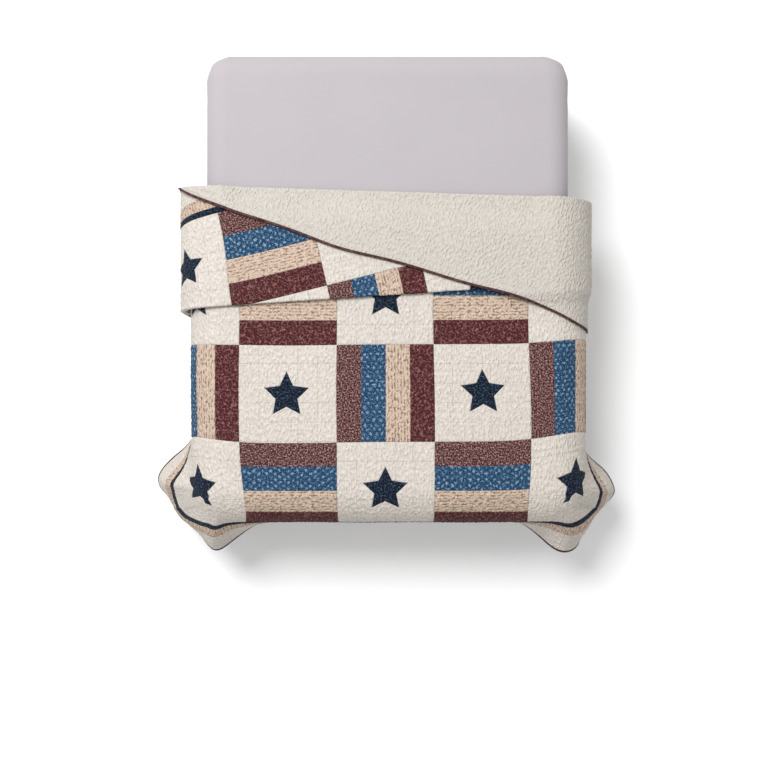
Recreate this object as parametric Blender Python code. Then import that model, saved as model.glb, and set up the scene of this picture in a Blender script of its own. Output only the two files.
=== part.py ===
"""A patchwork star quilt, turned back at the head and draped over a plain mattress and bed base.

The quilt is one closed sheet. A point of the flat cloth (across, along) is first folded at three
slanting creases into a stack of four layers, and the folded plane is then wrapped over the edges
of the mattress, where it hangs to its hem. At the two foot corners the spare cloth swings out
into an ear. Metres, +Z up, +X to the sleeper's right as seen from above, +Y towards the head,
origin on the floor under the middle of the mattress.
"""

import math

import bmesh
import bpy
import numpy as np

# Bed
MATTRESS_WIDTH = 1.372
MATTRESS_LENGTH = 1.704
BASE_HEIGHT = 0.30
MATTRESS_TOP = 0.62
SEAT_GAP = 0.0003
MATTRESS_EDGE = 0.085
MATTRESS_CORNER = 0.095
BASE_EDGE = 0.008
BASE_CORNER = 0.055
BASE_INSET = 0.006

# Quilt, flat
BLOCK = 0.3635
QUILT_HALF = 1.088
BINDING_WIDTH = 0.0075
BINDING_GAP = 0.0007
QUILT_THICK = 0.0050
BINDING_THICK = 0.0050
CLOTH_CENTRE = (-0.005, -0.061)

# Quilt, folded: each layer of the turned-back stack lies one pitch above the last
LAYER_PITCH = 0.010
CURL_RADIUS = LAYER_PITCH / 2
CURL_LENGTH = math.pi * CURL_RADIUS
SETTLE_LENGTH = 0.120
OVERHANG_LENGTH = 0.070
SETTLE_MARGIN = 0.030
SETTLE_SIDES = 0.100
SETTLE_OVERRUN = 0.020
CLEARANCE = 0.002
TOP_SKIN = MATTRESS_TOP + CLEARANCE + BINDING_THICK / 2

# Creases in the flat cloth, from the foot end to the head end: a point on each, its turn, and
# whether the cloth beyond it comes up over its front (+1) or goes under its back (-1)
CREASES = [
    {"through": (-0.200, 0.230), "turn_deg": -2.9, "folds": +1},
    {"through": (-0.200, 0.485), "turn_deg": -9.5, "folds": -1},
    {"through": (0.180, 0.809), "turn_deg": -15.0, "folds": +1},
]

# Wrap: where the flat top ends and the cloth starts to bend down
LEFT_START = -0.600
RIGHT_START = 0.608
FOOT_START = -0.768
DROP_RADIUS = 0.150
LEFT_SPREAD = 0.95
RIGHT_SPREAD = -0.25
WALL_LEAN_DEG = 1.0
ELBOW_SHARE = 0.5
EAR_BLEND = 0.12
EAR_SMOOTHING = 0.022
CORNER_SOFTNESS = 0.04
FAR_SHARE = 10.0
BEYOND_HEM = 1.02
TINY = 1e-9

# Soft ripples of the hanging walls, and a slight unevenness of the whole cloth
RIPPLE_SIZE = 0.009
RIPPLE_LENGTH = 0.46
RIPPLE_DEPTH = 0.25
RIPPLE_SIDE_PHASE = 0.8
RIPPLE_FOOT_PHASE = 0.5
PUFF_SIZE = 0.0011
PUFF_LENGTH = 0.41

# Hem and inner ring of each foot corner, from the side wall round the corner's tip to the foot
# wall. hem is the distance along the flat cloth's edge from its corner, positive up the side.
# out is X beyond the side start, foot is Y beyond the foot start, down is below the top: first
# where the fall line crosses the ring, which is the patchwork's edge, then at the hem.
RING = 0.921
EAR_COLUMNS = ("hem", "ring_out", "ring_foot", "ring_down", "hem_out", "hem_foot", "hem_down")
LEFT_EAR = [
    (0.651, 0.149, -0.268, 0.238, 0.145, -0.268, 0.405),
    (0.511, 0.171, -0.129, 0.234, 0.202, -0.134, 0.397),
    (0.424, 0.192, -0.058, 0.227, 0.266, -0.081, 0.374),
    (0.337, 0.237, 0.007, 0.202, 0.318, -0.015, 0.350),
    (0.250, 0.235, 0.030, 0.212, 0.312, 0.041, 0.372),
    (0.170, 0.234, 0.057, 0.232, 0.280, 0.082, 0.409),
    (0.000, 0.203, 0.132, 0.247, 0.207, 0.140, 0.499),
    (-0.170, 0.118, 0.160, 0.162, 0.165, 0.207, 0.394),
    (-0.280, 0.087, 0.163, 0.130, 0.123, 0.245, 0.304),
    (-0.392, 0.055, 0.172, 0.116, 0.065, 0.279, 0.249),
    (-0.480, 0.012, 0.156, 0.124, 0.000, 0.232, 0.276),
    (-0.572, -0.077, 0.151, 0.128, -0.077, 0.178, 0.294),
    (-0.660, -0.165, 0.148, 0.128, -0.165, 0.147, 0.294),
]
RIGHT_EAR = [
    (0.591, 0.149, -0.208, 0.238, 0.145, -0.208, 0.405),
    (0.455, 0.174, -0.073, 0.215, 0.205, -0.081, 0.379),
    (0.394, 0.194, -0.023, 0.212, 0.251, -0.047, 0.364),
    (0.334, 0.214, 0.017, 0.202, 0.288, -0.002, 0.351),
    (0.302, 0.221, 0.032, 0.200, 0.298, 0.028, 0.347),
    (0.225, 0.222, 0.047, 0.202, 0.304, 0.063, 0.360),
    (0.150, 0.218, 0.075, 0.212, 0.279, 0.102, 0.392),
    (0.000, 0.198, 0.125, 0.252, 0.218, 0.157, 0.494),
    (-0.150, 0.132, 0.156, 0.152, 0.174, 0.222, 0.386),
    (-0.260, 0.089, 0.165, 0.127, 0.138, 0.272, 0.284),
    (-0.330, 0.064, 0.159, 0.112, 0.087, 0.286, 0.244),
    (-0.400, 0.040, 0.153, 0.117, 0.038, 0.265, 0.249),
    (-0.490, -0.013, 0.149, 0.124, -0.014, 0.217, 0.276),
    (-0.570, -0.093, 0.149, 0.128, -0.093, 0.159, 0.290),
    (-0.640, -0.163, 0.148, 0.128, -0.163, 0.147, 0.294),
]

# Slack of the cloth: soft shifts, first in the flat cloth and then in the folded plane
FLAT_SLACK = [
    {"at": (-0.550, 0.930), "reach": 0.22, "move": (0.030, 0.000)},
    {"at": (-0.727, 0.740), "reach": 0.15, "move": (0.034, 0.000)},
    {"at": (-0.760, 0.600), "reach": 0.13, "move": (0.000, 0.030)},
    {"at": (-0.450, 0.750), "reach": 0.32, "move": (0.000, -0.008)},
    {"at": (-0.680, 1.120), "reach": 0.16, "move": (0.000, -0.040)},
    {"at": (-0.300, 1.088), "reach": 0.32, "move": (0.000, -0.007)},
    {"at": (0.010, 1.088), "reach": 0.15, "move": (0.000, 0.012)},
    {"at": (0.300, 1.088), "reach": 0.32, "move": (0.000, -0.007)},
    {"at": (0.700, 1.088), "reach": 0.16, "move": (0.000, -0.016)},
    {"at": (0.990, 1.088), "reach": 0.13, "move": (0.000, 0.026)},
]
PLANE_SLACK = [
    {"at": (0.500, -0.150), "reach": 0.34, "move": (-0.017, 0.000)},
    {"at": (0.760, -0.620), "reach": 0.20, "move": (-0.010, 0.036)},
    {"at": (0.745, -0.800), "reach": 0.13, "move": (0.010, 0.010)},
    {"at": (0.760, -0.240), "reach": 0.18, "move": (0.000, 0.018)},
    {"at": (-0.740, -0.600), "reach": 0.13, "move": (0.000, 0.018)},
    {"at": (-0.550, -0.870), "reach": 0.14, "move": (0.020, 0.000)},
    {"at": (0.560, -0.870), "reach": 0.14, "move": (-0.014, 0.000)},
]

# Grid of the quilt solid: cells between the named lines of the flat cloth, the last band to its edge
COLUMN_BANDS = [
    {"to": -0.960, "cells": 3},
    {"to": -0.790, "cells": 4},
    {"to": -0.630, "cells": 16},
    {"to": -0.470, "cells": 3},
    {"to": 0.470, "cells": 7},
    {"to": QUILT_HALF, "cells": 14},
]
CURL_CELLS = 4
FOOT_DROP_CELLS = 11
FOOT_TOP_CELLS = 2
FOOT_TOP_DEPTH = 0.16
BETWEEN_CELLS = (11, 3, 6)
HEAD_CELLS = 8
CREASE_MARGIN = 0.012
CREASE_ROOM = CURL_LENGTH + 1.3 * CREASE_MARGIN
CREASE_STEPS = 6
NORMAL_STEP = 0.0006

COLOURS = {
    "quilt": (0.80, 0.76, 0.68),
    "binding": (0.14, 0.05, 0.045),
    "mattress": (0.80, 0.80, 0.84),
    "base": (0.62, 0.60, 0.57),
}
ROUGHNESS = 0.85


def smooth(value):
    """Ease from 0 to 1 as value goes from 0 to 1."""
    part = np.clip(value, 0.0, 1.0)
    return part * part * (3.0 - 2.0 * part)


def crease_frame(crease):
    """The crease's point, its direction, and the way across it towards the head."""
    turn = math.radians(crease["turn_deg"])
    point = np.array(crease["through"])
    return point, np.array([math.cos(turn), math.sin(turn)]), np.array([-math.sin(turn), math.cos(turn)])


def crease_line(crease, across):
    """How far along the cloth a crease lies at a distance across it."""
    point, way, _ = crease_frame(crease)
    return point[1] + (across - point[0]) * way[1] / way[0]


def across_crease(crease, flat):
    """How far beyond a crease places lie, towards the head."""
    point, _, normal = crease_frame(crease)
    return (flat - point) @ normal


def slack_crease_line(crease, across):
    """How far along the cloth a crease lies once the slack of the flat cloth is taken up."""
    along = crease_line(crease, across)
    for _ in range(CREASE_STEPS):
        moved = slack(np.array([[across, along]]), FLAT_SLACK)
        along -= across_crease(crease, moved)[0] / math.cos(math.radians(crease["turn_deg"]))
    return along


def fold(flat):
    """Places of cloth points in the folded plane, and their heights above the lowest layer."""
    place = flat.copy()
    height = np.zeros(len(flat))
    beyond = [across_crease(crease, flat) for crease in CREASES]
    for number in (2, 1, 0):
        crease = CREASES[number]
        _, _, normal = crease_frame(crease)
        side = crease["folds"]
        member = beyond[number] > 0
        own_sheet = member if number == 2 else member & (beyond[number + 1] <= 0)
        local = across_crease(crease, place)
        curled = own_sheet & (beyond[number] < CURL_LENGTH)
        angle = np.where(curled, beyond[number] / CURL_RADIUS, math.pi)
        radius = CURL_RADIUS - side * height
        rolled_local = np.where(curled, radius * np.sin(angle), CURL_LENGTH - local)
        rolled_height = side * (CURL_RADIUS - radius * np.cos(angle))
        place = place + np.where(member, rolled_local - local, 0.0)[:, None] * normal
        height = np.where(member, rolled_height, height)
    return place + np.array(CLOTH_CENTRE), height


def folded_line(crease, folds):
    """A crease's place in the folded plane: its point there and the way across it, outwards."""
    point, way, normal = crease_frame(crease)
    inside = point - TINY * normal
    ends, _ = fold(np.array([inside, inside + 0.5 * way]))
    run = ends[1] - ends[0]
    outwards = np.array([-run[1], run[0]]) / np.linalg.norm(run)
    return ends[0], outwards * folds * np.sign(outwards[1])


def settle(flat, place, height):
    """Let the upper layers come down where the layers under them have ended."""
    beyond_b = across_crease(CREASES[1], flat)
    beyond_c = across_crease(CREASES[2], flat)
    point_a, out_a = folded_line(CREASES[0], +1)
    point_b, out_b = folded_line(CREASES[1], -1)
    past_a = (place - point_a) @ out_a - SETTLE_MARGIN
    past_b = (place - point_b) @ out_b - SETTLE_MARGIN
    from_sides = np.minimum(place[:, 0] - LEFT_START, RIGHT_START - place[:, 0])
    on_top = smooth((from_sides + SETTLE_OVERRUN) / SETTLE_SIDES)
    drop_a = 2 * LAYER_PITCH * smooth(past_a / SETTLE_LENGTH) * on_top
    drop_b = 2 * LAYER_PITCH * smooth(past_b / OVERHANG_LENGTH)
    upper = beyond_b > CURL_LENGTH
    overhang = beyond_c > CURL_LENGTH
    return height - np.where(upper, drop_a, 0.0) - np.where(overhang, drop_b, 0.0)


def slack(places, bumps):
    """Shift places softly by each bump's move, most at its middle."""
    moved = places.copy()
    for bump in bumps:
        far = np.sum((places - np.array(bump["at"])) ** 2, axis=1)
        moved += np.exp(-far / bump["reach"] ** 2)[:, None] * np.array(bump["move"])
    return moved


def ear_curve(rows, hem, column):
    """A smooth curve through one column of an ear's table, read at distances along the hem."""
    number = EAR_COLUMNS.index(column)
    knots = np.array([row[0] for row in rows])[::-1]
    values = np.array([row[number] for row in rows])[::-1]
    slopes = np.gradient(values, knots)
    taps = [curve_at(knots, values, slopes, hem + step * EAR_SMOOTHING) for step in (-2, -1, 0, 1, 2)]
    return (taps[0] + 2 * taps[1] + 2 * taps[2] + 2 * taps[3] + taps[4]) / 8


def curve_at(knots, values, slopes, hem):
    """A cubic curve through knots with given slopes."""
    cell = np.clip(np.searchsorted(knots, hem) - 1, 0, len(knots) - 2)
    width = knots[cell + 1] - knots[cell]
    part = np.clip((hem - knots[cell]) / width, 0.0, 1.0)
    keep = (1 + 2 * part) * (1 - part) ** 2
    lead = part * (1 - part) ** 2
    trail = part * part * (part - 1)
    return (
        keep * values[cell]
        + (1 - keep) * values[cell + 1]
        + width * (lead * slopes[cell] + trail * slopes[cell + 1])
    )


def fall_line(share, ring_share, rise, leaving, ring, hem):
    """Points down a fall line: it leaves as the flat cloth does, bends over the edge, and runs
    straight to the ring and then in a curve to the hem."""
    run = ring[:, :2] - rise
    out = np.hypot(run[:, 0], run[:, 1])
    way = run / np.maximum(out, TINY)[:, None]
    deeper = ring[:, 2] - DROP_RADIUS
    reach = np.hypot(out, deeper)
    bend = np.arctan2(out, -deeper) - np.arccos(np.clip(DROP_RADIUS / reach, -1, 1))
    straight = np.sqrt(np.maximum(reach**2 - DROP_RADIUS**2, 0.0))
    length = DROP_RADIUS * bend + straight
    travel = np.minimum(share / ring_share, 1.0) * length
    angle = np.minimum(travel / DROP_RADIUS, bend)
    hang = np.maximum(travel - DROP_RADIUS * bend, 0.0)
    sideways = DROP_RADIUS * np.sin(angle) + hang * np.cos(bend)
    down = DROP_RADIUS * (1 - np.cos(angle)) + hang * np.sin(bend)
    turned = smooth(share / ring_share)[:, None]
    course = leaving * (1 - turned) + way * turned
    course = course / np.maximum(np.linalg.norm(course, axis=1, keepdims=True), TINY)
    upper = np.column_stack([rise + course * sideways[:, None], down])
    rest = np.linalg.norm(hem - ring, axis=1)
    heading = np.column_stack([way * np.cos(bend)[:, None], np.sin(bend)])
    elbow = ring + heading * (rest * ELBOW_SHARE)[:, None]
    part = np.maximum((share - ring_share) / (1 - ring_share), 0.0)[:, None]
    lower = (1 - part) ** 2 * ring + 2 * part * (1 - part) * elbow + part**2 * hem
    return np.where((share <= ring_share)[:, None], upper, lower)


def corner_drop(place, side, start, rows):
    """Drape the cloth of one foot corner, and of the walls beside it, as an ear."""
    beyond = side * (place[:, 0] - start)
    foot = FOOT_START - place[:, 1]
    edge_side = QUILT_HALF + side * CLOTH_CENTRE[0] - side * start
    edge_foot = QUILT_HALF - CLOTH_CENTRE[1] + FOOT_START
    ring_side = edge_side - (QUILT_HALF - RING)
    ring_foot = edge_foot - (QUILT_HALF - RING)
    safe_beyond = np.maximum(beyond, TINY)
    safe_foot = np.maximum(foot, TINY)
    corner = (beyond > 0) & (foot > 0)
    sideways = np.where(corner, foot * edge_side <= beyond * edge_foot, beyond > 0)
    hem = np.where(
        sideways,
        np.where(corner, edge_foot - edge_side * safe_foot / safe_beyond, edge_foot - foot),
        np.where(corner, edge_foot * safe_beyond / safe_foot - edge_side, beyond - edge_side),
    )
    share = np.where(sideways, beyond / edge_side, foot / edge_foot)
    cut_side = ring_side / edge_side
    cut_foot = ring_foot / edge_foot
    slant = safe_foot * edge_side / (safe_beyond * edge_foot)
    own_cut = np.where(sideways, cut_side, cut_foot)
    other_cut = np.where(sideways, cut_foot / slant, cut_side * slant)
    other_cut = np.where(corner, np.minimum(other_cut, FAR_SHARE), FAR_SHARE)
    ring_share = (own_cut + other_cut - np.hypot(own_cut - other_cut, CORNER_SOFTNESS)) / 2
    rise = np.column_stack([np.where(beyond > 0, start, place[:, 0]), np.where(foot > 0, FOOT_START, place[:, 1])])
    outwards = np.column_stack([side * np.maximum(beyond, 0.0), -np.maximum(foot, 0.0)])
    leaving = outwards / np.maximum(np.linalg.norm(outwards, axis=1, keepdims=True), TINY)
    past_side = np.maximum(hem - rows[0][0], 0.0)
    past_foot = np.maximum(rows[-1][0] - hem, 0.0)
    targets = []
    for stop in ("ring", "hem"):
        out = ear_curve(rows, hem, stop + "_out") - past_foot
        low = ear_curve(rows, hem, stop + "_foot") - past_side
        targets.append(np.column_stack([start + side * out, FOOT_START - low, ear_curve(rows, hem, stop + "_down")]))
    spot = fall_line(np.clip(share, 0.0, BEYOND_HEM), ring_share, rise, leaving, *targets)
    return np.column_stack([spot[:, :2], TOP_SKIN - spot[:, 2]]), hem


def wall_drop(beyond, height, spread, ripple):
    """How far out and how high the cloth of a plain wall is, a length beyond the wall's start.
    Spread moves the upper layers of the stack further out, as a share of their height."""
    turn = math.radians(90.0 + WALL_LEAN_DEG)
    radius = DROP_RADIUS + height
    angle = np.minimum(beyond / radius, turn)
    hang = np.maximum(beyond - radius * turn, 0.0)
    out = radius * np.sin(angle) + hang * math.cos(turn)
    rise = radius * np.cos(angle) - DROP_RADIUS - hang * math.sin(turn)
    out = out + spread * height * smooth(beyond / DROP_RADIUS)
    return out + RIPPLE_SIZE * ripple * smooth(hang / RIPPLE_DEPTH), TOP_SKIN + rise


def drape(place, height):
    """Wrap the folded plane over the mattress."""
    x, y = place[:, 0], place[:, 1]
    puff = PUFF_SIZE * (1 + np.sin(2 * math.pi * x / PUFF_LENGTH) * np.cos(2 * math.pi * y / PUFF_LENGTH + x))
    height = height + puff
    spots = np.column_stack([x, y, TOP_SKIN + height])
    for side, start, spread, rows in (
        (-1.0, LEFT_START, LEFT_SPREAD, LEFT_EAR),
        (1.0, RIGHT_START, RIGHT_SPREAD, RIGHT_EAR),
    ):
        beyond = side * (x - start)
        near_side = side * x >= 0
        ear_spots, hem = corner_drop(place, side, start, rows)
        side_plain = smooth((hem - rows[0][0]) / EAR_BLEND)
        foot_plain = smooth((rows[-1][0] - hem) / EAR_BLEND)
        ripple = np.sin(2 * math.pi * y / RIPPLE_LENGTH + RIPPLE_SIDE_PHASE * side) * side_plain
        out, up = wall_drop(np.maximum(beyond, 0.0), height, spread, ripple)
        side_wall = np.column_stack([start + side * out, y, up])
        ripple = np.sin(2 * math.pi * x / RIPPLE_LENGTH + RIPPLE_FOOT_PHASE) * foot_plain
        out, up = wall_drop(np.maximum(FOOT_START - y, 0.0), height, 0.0, ripple)
        foot_wall = np.column_stack([x, FOOT_START - out, up])
        to_side = smooth((hem - rows[0][0]) / EAR_BLEND + 0.5)[:, None]
        to_foot = smooth((rows[-1][0] - hem) / EAR_BLEND + 0.5)[:, None]
        draped = ear_spots * (1 - to_side - to_foot) + side_wall * to_side + foot_wall * to_foot
        hangs = near_side & ((beyond > 0) | (y < FOOT_START))
        spots = np.where(hangs[:, None], draped, spots)
    return spots


def cloth_to_space(flat):
    flat = slack(flat, FLAT_SLACK)
    place, height = fold(flat)
    height = settle(flat, place, height)
    return drape(slack(place, PLANE_SLACK), height)


def columns(half):
    """Distances across the cloth at which the grid has lines."""
    edges = [-half] + [min(band["to"], half) for band in COLUMN_BANDS]
    lines = [np.linspace(a, b, band["cells"] + 1)[:-1] for a, b, band in zip(edges, edges[1:], COLUMN_BANDS)]
    return np.append(np.concatenate(lines), half)


def rows_at(across, half):
    """Distances along the cloth of the grid's lines at one column, which follow the creases."""
    foot = FOOT_START - CLOTH_CENTRE[1]
    ladder = list(np.linspace(-half, foot, FOOT_DROP_CELLS + 1)[:-1])
    start = foot + FOOT_TOP_DEPTH
    ladder += list(np.linspace(foot, start, FOOT_TOP_CELLS + 1)[:-1])
    for number, crease in enumerate(CREASES):
        line = min(slack_crease_line(crease, across), half - CREASE_ROOM)
        slope = math.cos(math.radians(crease["turn_deg"]))
        before = line - CREASE_MARGIN
        ladder += list(np.linspace(start, before, BETWEEN_CELLS[number] + 1)[:-1])
        ladder += [before]
        ladder += list(line + np.linspace(0.0, CURL_LENGTH / slope, CURL_CELLS + 1))
        room = half - line - CURL_LENGTH / slope
        start = half - room + min(CREASE_MARGIN, room / (HEAD_CELLS + 1))
    ladder += list(np.linspace(start, half, HEAD_CELLS + 1))
    return np.array(ladder)


def surface_normals(flat):
    """Normals of the draped surface at cloth points, from steps across and along the cloth."""
    across = np.array([NORMAL_STEP, 0.0])
    along = np.array([0.0, NORMAL_STEP])
    rise_across = cloth_to_space(flat + across) - cloth_to_space(flat - across)
    rise_along = cloth_to_space(flat + along) - cloth_to_space(flat - along)
    normal = np.cross(rise_across, rise_along)
    return normal / np.linalg.norm(normal, axis=1, keepdims=True)


def sheet_object(name, grid, thick, loop):
    """A closed sheet from a grid of cloth points; loop says that its first side closes on itself."""
    wide, high = grid.shape[:2]
    flat = grid.reshape(-1, 2)
    middle = cloth_to_space(flat)
    normal = surface_normals(flat)
    outer = middle + normal * thick / 2
    inner = middle - normal * thick / 2
    mesh = bmesh.new()
    top = [mesh.verts.new(point) for point in outer]
    bottom = [mesh.verts.new(point) for point in inner]
    ends = wide if loop else wide - 1
    for i in range(ends):
        near, far = i * high, ((i + 1) % wide) * high
        for j in range(high - 1):
            mesh.faces.new([top[near + j], top[far + j], top[far + j + 1], top[near + j + 1]])
            mesh.faces.new([bottom[near + j + 1], bottom[far + j + 1], bottom[far + j], bottom[near + j]])
        mesh.faces.new([bottom[near], bottom[far], top[far], top[near]])
        last = high - 1
        mesh.faces.new([top[near + last], top[far + last], bottom[far + last], bottom[near + last]])
    if not loop:
        for j in range(high - 1):
            mesh.faces.new([top[j], top[j + 1], bottom[j + 1], bottom[j]])
            last = (wide - 1) * high + j
            mesh.faces.new([bottom[last], bottom[last + 1], top[last + 1], top[last]])
    bmesh.ops.triangulate(mesh, faces=mesh.faces[:], quad_method="SHORT_EDGE")
    bmesh.ops.recalc_face_normals(mesh, faces=mesh.faces[:])
    return finished(name, mesh)


def finished(name, mesh):
    """Turn a bmesh into a named object with its own material."""
    data = bpy.data.meshes.new(name)
    mesh.to_mesh(data)
    mesh.free()
    piece = bpy.data.objects.new(name, data)
    bpy.context.scene.collection.objects.link(piece)
    material = bpy.data.materials.new(name)
    material.use_nodes = True
    shader = material.node_tree.nodes["Principled BSDF"]
    shader.inputs["Base Color"].default_value = (*COLOURS[name], 1.0)
    shader.inputs["Roughness"].default_value = ROUGHNESS
    shader.inputs["Metallic"].default_value = 0.0
    data.materials.append(material)
    return piece


def quilt():
    """The quilt itself, folded and draped, inside its binding."""
    half = QUILT_HALF - BINDING_WIDTH - BINDING_GAP
    grid = np.array([[(across, along) for along in rows_at(across, half)] for across in columns(half)])
    return sheet_object("quilt", grid, QUILT_THICK, loop=False)


def binding():
    """The bound edge: one narrow strip that runs round all four hems."""
    inner = QUILT_HALF - BINDING_WIDTH
    rings = []
    for edge in (inner, QUILT_HALF):
        across = columns(inner)
        across[[0, -1]] = -edge, edge
        path = [(value, -edge) for value in across]
        path += [(edge, value) for value in rows_at(edge, inner)[1:-1]]
        path += [(value, edge) for value in across[::-1]]
        path += [(-edge, value) for value in rows_at(-edge, inner)[-2:0:-1]]
        rings.append(path)
    grid = np.stack([np.array(rings[0]), np.array(rings[1])], axis=1)[::-1]
    return sheet_object("binding", grid, BINDING_THICK, loop=True)


def rounded_outline(half_width, half_length, corner, steps=6):
    """Points round a rectangle with round corners, anticlockwise from above."""
    points = []
    for number, (sign_x, sign_y) in enumerate([(1, 1), (-1, 1), (-1, -1), (1, -1)]):
        for step in range(steps + 1):
            angle = math.pi / 2 * (number + step / steps)
            points.append(
                (
                    sign_x * (half_width - corner) + corner * math.cos(angle),
                    sign_y * (half_length - corner) + corner * math.sin(angle),
                )
            )
    return points


def slab(name, bottom, top, inset, edge, corner, edge_steps):
    """A flat block with round corners and softened upper and lower edges."""
    levels = []
    for step in range(edge_steps + 1):
        angle = math.pi / 2 * step / edge_steps
        levels.append((bottom + edge * (1 - math.cos(angle)), edge * (1 - math.sin(angle))))
    levels += [(top + bottom - height, shrink) for height, shrink in reversed(levels)]
    mesh = bmesh.new()
    rings = []
    for height, shrink in levels:
        outline = rounded_outline(
            MATTRESS_WIDTH / 2 - inset - shrink, MATTRESS_LENGTH / 2 - inset - shrink, corner - shrink
        )
        rings.append([mesh.verts.new((x, y, height)) for x, y in outline])
    for lower, upper in zip(rings, rings[1:]):
        for i in range(len(lower)):
            j = (i + 1) % len(lower)
            mesh.faces.new([lower[i], lower[j], upper[j], upper[i]])
    mesh.faces.new(rings[-1])
    mesh.faces.new(rings[0][::-1])
    piece = finished(name, mesh)
    piece.data.shade_smooth()
    piece.data.set_sharp_from_angle(angle=math.radians(40))
    return piece


def mattress():
    return slab("mattress", BASE_HEIGHT + SEAT_GAP, MATTRESS_TOP, 0.0, MATTRESS_EDGE, MATTRESS_CORNER, 4)


def base():
    return slab("base", 0.0, BASE_HEIGHT, BASE_INSET, BASE_EDGE, BASE_CORNER, 2)


def build():
    for old in list(bpy.data.objects):
        bpy.data.objects.remove(old, do_unlink=True)
    base()
    mattress()
    quilt()
    binding()


build()
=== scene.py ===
"""Looks of the patchwork star quilt on its mattress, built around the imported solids.

The way from a point of the flat cloth (across, along) to its place in space is the same as in the
solids' source: three slanting folds at the head end, then a drop over the edges of the mattress.
Here it is read on a fine grid, with the quilting raised in the points. Metres, +Z up, +Y head.
"""

import math

import bpy
import numpy as np
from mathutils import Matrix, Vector


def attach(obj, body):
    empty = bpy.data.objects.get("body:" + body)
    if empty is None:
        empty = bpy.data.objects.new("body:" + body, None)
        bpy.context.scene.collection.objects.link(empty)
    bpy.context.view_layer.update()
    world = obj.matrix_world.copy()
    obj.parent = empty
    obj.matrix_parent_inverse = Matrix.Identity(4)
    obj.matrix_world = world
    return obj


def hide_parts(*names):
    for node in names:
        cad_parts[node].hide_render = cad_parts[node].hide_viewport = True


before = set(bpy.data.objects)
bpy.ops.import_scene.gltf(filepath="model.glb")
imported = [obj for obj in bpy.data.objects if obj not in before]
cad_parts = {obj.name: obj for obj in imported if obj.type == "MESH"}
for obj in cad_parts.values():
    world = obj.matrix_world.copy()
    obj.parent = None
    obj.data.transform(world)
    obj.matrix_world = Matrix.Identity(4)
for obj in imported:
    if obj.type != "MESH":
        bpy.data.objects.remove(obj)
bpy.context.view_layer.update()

# Bed and quilt sizes, as in the solids
MATTRESS_WIDTH = 1.372
MATTRESS_LENGTH = 1.704
BASE_HEIGHT = 0.30
MATTRESS_TOP = 0.62
SEAT_GAP = 0.0003
MATTRESS_EDGE = 0.085
MATTRESS_CORNER = 0.095
BLOCK = 0.3635
QUILT_HALF = 1.088
BINDING_WIDTH = 0.0075
BINDING_GAP = 0.0007
QUILT_THICK = 0.0050
BINDING_THICK = 0.0050
CLOTH_CENTRE = (-0.005, -0.061)
LAYER_PITCH = 0.010
CURL_RADIUS = LAYER_PITCH / 2
CURL_LENGTH = math.pi * CURL_RADIUS
SETTLE_LENGTH = 0.120
OVERHANG_LENGTH = 0.070
SETTLE_MARGIN = 0.030
SETTLE_SIDES = 0.100
SETTLE_OVERRUN = 0.020
CLEARANCE = 0.002
TOP_SKIN = MATTRESS_TOP + CLEARANCE + BINDING_THICK / 2
CREASES = [
    {"through": (-0.200, 0.230), "turn_deg": -2.9, "folds": +1},
    {"through": (-0.200, 0.485), "turn_deg": -9.5, "folds": -1},
    {"through": (0.180, 0.809), "turn_deg": -15.0, "folds": +1},
]
LEFT_START = -0.600
RIGHT_START = 0.608
FOOT_START = -0.768
DROP_RADIUS = 0.150
LEFT_SPREAD = 0.95
RIGHT_SPREAD = -0.25
WALL_LEAN_DEG = 1.0
ELBOW_SHARE = 0.5
EAR_BLEND = 0.12
EAR_SMOOTHING = 0.022
CORNER_SOFTNESS = 0.04
FAR_SHARE = 10.0
BEYOND_HEM = 1.02
TINY = 1e-9
RIPPLE_SIZE = 0.009
RIPPLE_LENGTH = 0.46
RIPPLE_DEPTH = 0.25
RIPPLE_SIDE_PHASE = 0.8
RIPPLE_FOOT_PHASE = 0.5
PUFF_SIZE = 0.0011
PUFF_LENGTH = 0.41
RING = 0.921
EAR_COLUMNS = ("hem", "ring_out", "ring_foot", "ring_down", "hem_out", "hem_foot", "hem_down")
LEFT_EAR = [
    (0.651, 0.149, -0.268, 0.238, 0.145, -0.268, 0.405),
    (0.511, 0.171, -0.129, 0.234, 0.202, -0.134, 0.397),
    (0.424, 0.192, -0.058, 0.227, 0.266, -0.081, 0.374),
    (0.337, 0.237, 0.007, 0.202, 0.318, -0.015, 0.350),
    (0.250, 0.235, 0.030, 0.212, 0.312, 0.041, 0.372),
    (0.170, 0.234, 0.057, 0.232, 0.280, 0.082, 0.409),
    (0.000, 0.203, 0.132, 0.247, 0.207, 0.140, 0.499),
    (-0.170, 0.118, 0.160, 0.162, 0.165, 0.207, 0.394),
    (-0.280, 0.087, 0.163, 0.130, 0.123, 0.245, 0.304),
    (-0.392, 0.055, 0.172, 0.116, 0.065, 0.279, 0.249),
    (-0.480, 0.012, 0.156, 0.124, 0.000, 0.232, 0.276),
    (-0.572, -0.077, 0.151, 0.128, -0.077, 0.178, 0.294),
    (-0.660, -0.165, 0.148, 0.128, -0.165, 0.147, 0.294),
]
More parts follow.
